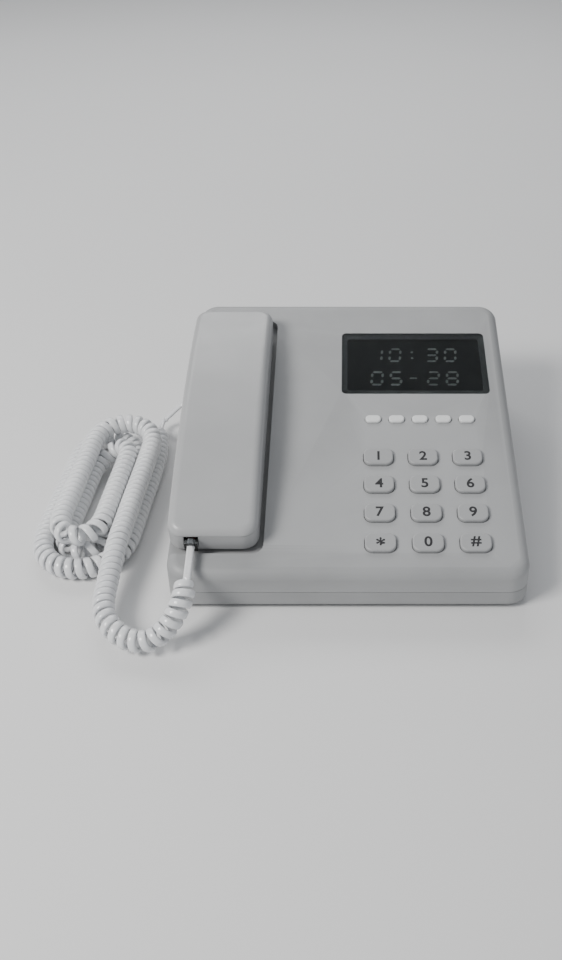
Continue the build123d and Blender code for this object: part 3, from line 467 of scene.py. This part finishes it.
# ---------------------------------------------------------------- materials of the CAD pieces
PIECES = {
    "housing": "base_top_shell base_bottom_shell",
    "handset": "handset_outer_shell handset_inner_shell",
    "func": "key_flash key_redial key_mute key_down key_up",
    "black": "lcd_holder board_components hook_microswitch cord_jack line_jack handset_jack "
             "slide_switch_bodies",
    "knob": "hook_plunger ringer_switch_knob tone_switch_knob",
    "silicone": "elastomer_strips keypad_mat receiver_gasket microphone_boot",
    "rubber": "rubber_feet",
    "board": "main_board",
    "wires": "plug_base_wires plug_handset_wires",
    "zinc": "base_screws ballast_plate board_screws hook_bracket handset_screws handset_weight",
    "spring": "hook_spring hook_switch_lever",
    "gold": "jack_contacts plug_base_contacts plug_handset_contacts",
    "alu": "microphone",
    "can": "ringer_speaker receiver_capsule",
    "clear": "plug_base plug_handset",
    "lens": "display_lens",
    "lcd": "lcd_panel",
    "cord": "cord_tail_base cord_tail_handset coil_cord",
}
piece_material = {piece: key for key, pieces in PIECES.items() for piece in pieces.split()}
for name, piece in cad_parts.items():
    if name.startswith("key_"):
        piece_material.setdefault(name, "key")
    material = MATERIALS[piece_material[name]]
    slots = piece.data.materials
    if slots:
        for k in range(len(slots)):
            slots[k] = material
    else:
        slots.append(material)


def mesh_object(name, verts, faces, material, smooth=True):
    mesh = bpy.data.meshes.new(name)
    mesh.from_pydata([tuple(map(float, v)) for v in verts], [], [tuple(f) for f in faces])
    mesh.update()
    if smooth:
        mesh.polygons.foreach_set("use_smooth", [True] * len(mesh.polygons))
    mesh.materials.append(material)
    obj = bpy.data.objects.new(name, mesh)
    bpy.context.scene.collection.objects.link(obj)
    return obj


# ---------------------------------------------------------------- the coiled cord
CORD_HALF_THICK, CORD_HALF_WIDE = 1.30, 2.12   # half sizes of the flat cord's section
SECTION_POWER = 2.7                            # superellipse power of that section
TIGHT_PITCH = 4.42                             # smallest pitch of the turns
INNER_REACH, TURN_WIDTH = 5.0, 4.3             # turns touch here on the inside of a bend
RAMP_LENGTH = 5.5                              # over which the coil opens out from each end


def unit_rows(rows):
    return rows / np.linalg.norm(rows, axis=1)[:, None]


def dot_rows(a, b):
    return np.sum(a * b, axis=1)[:, None]


def averaged(values, width):
    window = np.hanning(width)
    window /= window.sum()
    return np.convolve(np.pad(values, width // 2, mode="edge"), window, mode="valid")


def cubic_through(knots, samples=8):
    """Catmull-Rom curve through the knots, with this many samples per interval."""
    padded = np.vstack([2 * knots[0] - knots[1], knots, 2 * knots[-1] - knots[-2]])
    curve = []
    for i in range(1, len(padded) - 2):
        p0, p1, p2, p3 = padded[i - 1:i + 3]
        for k in range(samples):
            t = k / samples
            curve.append(0.5 * ((2 * p1) + (-p0 + p2) * t
                                + (2 * p0 - 5 * p1 + 4 * p2 - p3) * t * t
                                + (-p0 + 3 * p1 - 3 * p2 + p3) * t ** 3))
    curve.append(padded[-2])
    return np.array(curve)


def coil_pitch(tangent, along):
    """Turns stay in touch on the inside of a bend, so they fan out on its outside."""
    curvature = averaged(np.linalg.norm(np.gradient(tangent, along, axis=0), axis=1), 25)
    radius = 1 / np.maximum(curvature, 1e-4)
    fanned = TURN_WIDTH * radius / np.maximum(radius - INNER_REACH, 3.0)
    pitch = averaged(np.maximum(TIGHT_PITCH, fanned), 41)
    return pitch * (1 + 0.018 * np.sin(along / 37.0) + 0.014 * np.sin(along / 11.3 + 1.0))


def untwisted_normals(tangent):
    """Normals carried along the path without twist, starting upright."""
    normal = np.zeros_like(tangent)
    start = np.array((0.0, 0.0, 1.0))
    normal[0] = start - tangent[0] * (start @ tangent[0])
    normal[0] /= np.linalg.norm(normal[0])
    for i in range(1, len(tangent)):
        carried = normal[i - 1] - tangent[i] * (normal[i - 1] @ tangent[i])
        normal[i] = carried / np.linalg.norm(carried)
    return normal


def ramp(distance):
    t = np.clip(distance / RAMP_LENGTH, 0, 1)
    return t * t * (3 - 2 * t)


def build_coil():
    knots = np.array(cord_path(), float)
    # run a little into the straight tails at both ends
    knots = np.vstack([knots[0] + np.array((0.0, 1.6, 0.0)), knots,
                       knots[-1] + ALONG_SLOPE * 1.8])
    path = cubic_through(knots)
    lengths = np.linalg.norm(np.diff(path, axis=0), axis=1)
    along = np.concatenate([[0], np.cumsum(lengths)])
    total = along[-1]
    tangent = unit_rows(np.gradient(path, along, axis=0))
    pitch = coil_pitch(tangent, along)
    turns = np.cumsum(lengths / (0.5 * (pitch[1:] + pitch[:-1])))
    phase = np.concatenate([[0], turns]) * 2 * pi
    normal = untwisted_normals(tangent)
    binormal = np.cross(tangent, normal)
    # stretch the phase so that the last turn ends facing out of the panel
    goal = atan2(PANEL_NORMAL @ binormal[-1], PANEL_NORMAL @ normal[-1]) % (2 * pi)
    extra = (goal - phase[-1]) % (2 * pi)
    phase = phase + extra * along / total

    # sample again at even phase
    per_turn = 26
    count = int(phase[-1] / (2 * pi) * per_turn)
    angle = np.linspace(0, phase[-1], count)
    place = np.interp(angle, phase, along)

    def sampled(rows):
        return np.stack([np.interp(place, along, rows[:, k]) for k in range(3)], axis=1)

    centre = sampled(path)
    tangent, normal, binormal = (unit_rows(sampled(a)) for a in (tangent, normal, binormal))
    outward = normal * np.cos(angle)[:, None] + binormal * np.sin(angle)[:, None]

    # centre of the wound cord; each turn tilts slightly, slowly changing along the cord
    lean = 0.35 * np.sin(place / 53.0) + 0.2 * np.sin(place / 17.0 + 2.0)
    opened = ramp(place - 1.0) * ramp(total - place - 2.0)
    wind_r = (COIL_R - CORD_HALF_THICK) * opened
    wound = (centre + outward * wind_r[:, None]
             + tangent * (np.sin(angle + place / 31.0) * lean * opened)[:, None])

    # the flat cord's thin direction: outward in the coil, upright at the ends
    heading = unit_rows(np.gradient(wound, axis=0))
    end_up = np.where((place < total / 2)[:, None], np.array((0.0, 0.0, 1.0)), PANEL_NORMAL)
    thin = outward * opened[:, None] + end_up * (1 - opened)[:, None]
    thin = unit_rows(thin - heading * dot_rows(thin, heading))
    wide = np.cross(heading, thin)

    ring = 14
    around = np.linspace(0, 2 * pi, ring, endpoint=False)
    exponent = 2 / SECTION_POWER
    across, up = (np.sign(c) * np.abs(c) ** exponent for c in (np.cos(around), np.sin(around)))
    verts = (wound[:, None, :]
             + wide[:, None, :] * (across * CORD_HALF_WIDE)[None, :, None]
             + thin[:, None, :] * (up * CORD_HALF_THICK)[None, :, None]).reshape(-1, 3) / 1000
    faces = []
    for i in range(count - 1):
        a, b = i * ring, (i + 1) * ring
        for k in range(ring):
            k2 = (k + 1) % ring
            faces.append((a + k, b + k, b + k2, a + k2))
    faces.append(tuple(range(ring)))
    faces.append(tuple(reversed(range((count - 1) * ring, count * ring))))
    return mesh_object("coil_turns", verts, faces, MATERIALS["cord"])


coil = build_coil()
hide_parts("coil_cord")
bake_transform(coil)

# ---------------------------------------------------------------- printed digits on the dial keys
KEY_U = (17.9, 44.3, 70.7)
KEY_PROUD = 2.2                      # key tops above the panel
DIGIT_SIZE, STAR_SIZE = 9.4, 11.5
INK_THICK, INK_SINK, INK_FATTEN = 0.07, 0.02, 0.22
# each row: v, then (text, key name) from left to right
KEY_ROWS = (
    (-29.0, (("1", "1"), ("2", "2"), ("3", "3"))),
    (-50.0, (("4", "4"), ("5", "5"), ("6", "6"))),
    (-71.0, (("7", "7"), ("8", "8"), ("9", "9"))),
    (-92.0, (("*", "star"), ("0", "0"), ("#", "hash"))),
)


def key_label(text, key, u, v):
    name = key + "_digit"
    curve = bpy.data.curves.new(name, "FONT")
    curve.body = text
    curve.size = (STAR_SIZE if text == "*" else DIGIT_SIZE) / 1000
    curve.align_x, curve.align_y = "CENTER", "CENTER"
    curve.offset = INK_FATTEN / 1000
    curve.extrude = INK_THICK / 2000
    curve.resolution_u = 6
    text_obj = bpy.data.objects.new(name + "_curve", curve)
    bpy.context.scene.collection.objects.link(text_obj)
    bpy.context.view_layer.update()
    evaluated = text_obj.evaluated_get(bpy.context.evaluated_depsgraph_get())
    mesh = bpy.data.meshes.new_from_object(evaluated)
    bpy.data.objects.remove(text_obj)
    # centre the glyph itself, then lay it on the key
    coords = vertex_coords(mesh)
    middle = (coords.max(0) + coords.min(0)) / 2
    mesh.transform(Matrix.Translation((-middle[0], -middle[1], 0)))
    mesh.transform(panel_matrix(u, v, KEY_PROUD - INK_SINK + INK_THICK / 2))
    mesh.materials.clear()
    mesh.materials.append(MATERIALS["print"])
    obj = bpy.data.objects.new(name, mesh)
    bpy.context.scene.collection.objects.link(obj)
    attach(obj, key + "_cap")


def vertex_coords(mesh):
    coords = np.zeros(len(mesh.vertices) * 3)
    mesh.vertices.foreach_get("co", coords)
    return coords.reshape(-1, 3)


for key_v, row in KEY_ROWS:
    for (text, key), key_u in zip(row, KEY_U):
        key_label(text, "key_" + key, key_u, key_v)

# ---------------------------------------------------------------- figures on the display
LENS_U = 42.5                               # middle of the display
TIME_V, DATE_V = 62.0, 40.5
FIGURE_W, FIGURE_H = 8.4, 13.0
FIGURE_OFFSETS = (-24.0, -12.0, 12.0, 24.0)   # figure centres from LENS_U
FIGURE_N = (-2.705, -2.62)                  # underside and top of the figures
COLON_U, COLON_RISE, COLON_R = LENS_U - 0.9, 2.8, 0.9
DASH_U, DASH_V = (LENS_U - 3.2, LENS_U + 1.4), (40.0, 41.2)
# lit segments: a top, b and c right, d bottom, e and f left, g middle
SEGMENTS = {"0": "abcdef", "1": "bc", "2": "abged", "3": "abgcd", "4": "fgbc", "5": "afgcd",
            "6": "afgedc", "7": "abc", "8": "abcdefg", "9": "abcdfg"}


def figure(digit, u, v):
    """Panel outlines of one slanted seven-segment figure centred at (u, v)."""
    half, gap, slant = FIGURE_H * 0.13 / 2, FIGURE_H * 0.015, 0.12 * FIGURE_W
    left, right = u - FIGURE_W / 2, u + FIGURE_W / 2
    bottom, top = v - FIGURE_H / 2, v + FIGURE_H / 2

    def level(y):
        x0, x1 = left + 2 * half + gap, right - 2 * half - gap
        return [(left + half + gap, y), (x0, y + half), (x1, y + half),
                (right - half - gap, y), (x1, y - half), (x0, y - half)]

    def upright(x, low, high):
        y0, y1 = low + 2 * half + gap, high - 2 * half - gap
        return [(x, low + half + gap), (x + half, y0), (x + half, y1),
                (x, high - half - gap), (x - half, y1), (x - half, y0)]

    outlines = {"a": level(top - half), "g": level(v), "d": level(bottom + half),
                "f": upright(left + half, v, top - half),
                "b": upright(right - half, v, top - half),
                "e": upright(left + half, bottom + half, v),
                "c": upright(right - half, bottom + half, v)}
    return [[(x + slant * (y - v) / FIGURE_H, y) for x, y in outlines[segment]]
            for segment in SEGMENTS[digit]]


def build_figures():
    outlines = []
    for row_v, text in ((TIME_V, "1030"), (DATE_V, "0528")):
        for digit, offset in zip(text, FIGURE_OFFSETS):
            outlines += figure(digit, LENS_U + offset, row_v)
    angles = np.linspace(0, 2 * pi, 12, endpoint=False)
    for rise in (-COLON_RISE, COLON_RISE):
        outlines.append([(COLON_U + COLON_R * cos(a), TIME_V + rise + COLON_R * sin(a))
                         for a in angles][::-1])
    (u0, u1), (v0, v1) = DASH_U, DASH_V
    outlines.append([(u0, v0), (u0, v1), (u1, v1), (u1, v0)])

    verts, faces = [], []
    for outline in outlines:
        low, count = len(verts), len(outline)
        high = low + count
        for n in FIGURE_N:
            verts += [tuple(c / 1000 for c in panel_point(x, y, n)) for x, y in outline]
        faces.append(tuple(high + k for k in range(count)))
        faces.append(tuple(low + k for k in reversed(range(count))))
        for k in range(count):
            k2 = (k + 1) % count
            faces.append((low + k, low + k2, high + k2, high + k))
    obj = mesh_object("display_figures", verts, faces, MATERIALS["segment"], smooth=False)
    bm = bmesh.new()
    bm.from_mesh(obj.data)
    bmesh.ops.recalc_face_normals(bm, faces=bm.faces)
    bm.to_mesh(obj.data)
    bm.free()
    return obj


figures = build_figures()
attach(figures, "base")


# ---------------------------------------------------------------- floor, lights, world (metres)
def build_floor():
    bpy.ops.mesh.primitive_plane_add(size=60.0, location=(0, 0, -0.0002))
    floor = bpy.context.object
    floor.name = "floor"
    s = Shader("pale_floor")
    drift = s.remap(s.noise(scale=1.2))
    s.set({"Base Color": s.mix(drift, (0.74, 0.74, 0.74), (0.78, 0.78, 0.78)),
           "Roughness": 0.65})
    floor.data.materials.append(s.material)


def area_light(name, location, aim, size, power, color=(1, 1, 1)):
    light = bpy.data.lights.new(name, "AREA")
    light.shape = "RECTANGLE"
    light.size, light.size_y = size
    light.energy = power
    light.color = color
    obj = bpy.data.objects.new(name, light)
    bpy.context.scene.collection.objects.link(obj)
    obj.location = location
    direction = Vector(aim) - Vector(location)
    obj.rotation_euler = direction.to_track_quat("-Z", "Y").to_euler()


build_floor()
area_light("key_light", location=(-0.85, -0.55, 0.95), aim=(-0.03, 0, 0.03),
           size=(0.45, 0.45), power=17.0, color=(1.0, 0.985, 0.96))
area_light("fill_light", location=(1.0, -0.7, 0.8), aim=(0, 0, 0.03),
           size=(1.0, 1.0), power=2.2, color=(0.95, 0.97, 1.0))
area_light("back_light", location=(-0.2, 1.0, 0.9), aim=(0, 0, 0.05),
           size=(1.2, 0.5), power=7.0)
world = bpy.data.worlds.new("soft_room")
bpy.context.scene.world = world
world.use_nodes = True
background = world.node_tree.nodes["Background"]
background.inputs["Color"].default_value = (0.90, 0.93, 0.97, 1)
background.inputs["Strength"].default_value = 0.38

# ---------------------------------------------------------------- camera (metres)
ELEVATION, DISTANCE = 35.0, 0.66      # degrees above the horizon, metres from the panel's centre
SENSOR, MARGIN = 36.0, 1.13           # sensor width in mm, picture width over object width


def build_camera():
    """Look from the front, with the lens and its shift framing every vertex."""
    rise, run = sin(radians(ELEVATION)), cos(radians(ELEVATION))
    position = Vector((0.0, 0.0, PANEL_Z / 1000)) + Vector((0, -run, rise)) * DISTANCE
    data = bpy.data.cameras.new("view")
    camera = bpy.data.objects.new("view", data)
    bpy.context.scene.collection.objects.link(camera)
    camera.location = position
    camera.rotation_euler = (radians(90 - ELEVATION), 0, 0)
    data.sensor_fit = "HORIZONTAL"
    data.sensor_width = SENSOR
    data.clip_start = 0.01
    pieces = list(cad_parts.values()) + [coil]
    points = np.vstack([vertex_coords(o.data) for o in pieces]) - np.array(position)
    depth = points @ np.array((0, run, -rise))
    across, up = points[:, 0] / depth, (points @ np.array((0, rise, run))) / depth
    span = (across.max() - across.min()) * MARGIN
    data.lens = SENSOR / span
    data.shift_x = (across.max() + across.min()) / 2 / span
    data.shift_y = (up.max() + up.min()) / 2 / span
    bpy.context.scene.camera = camera


build_camera()
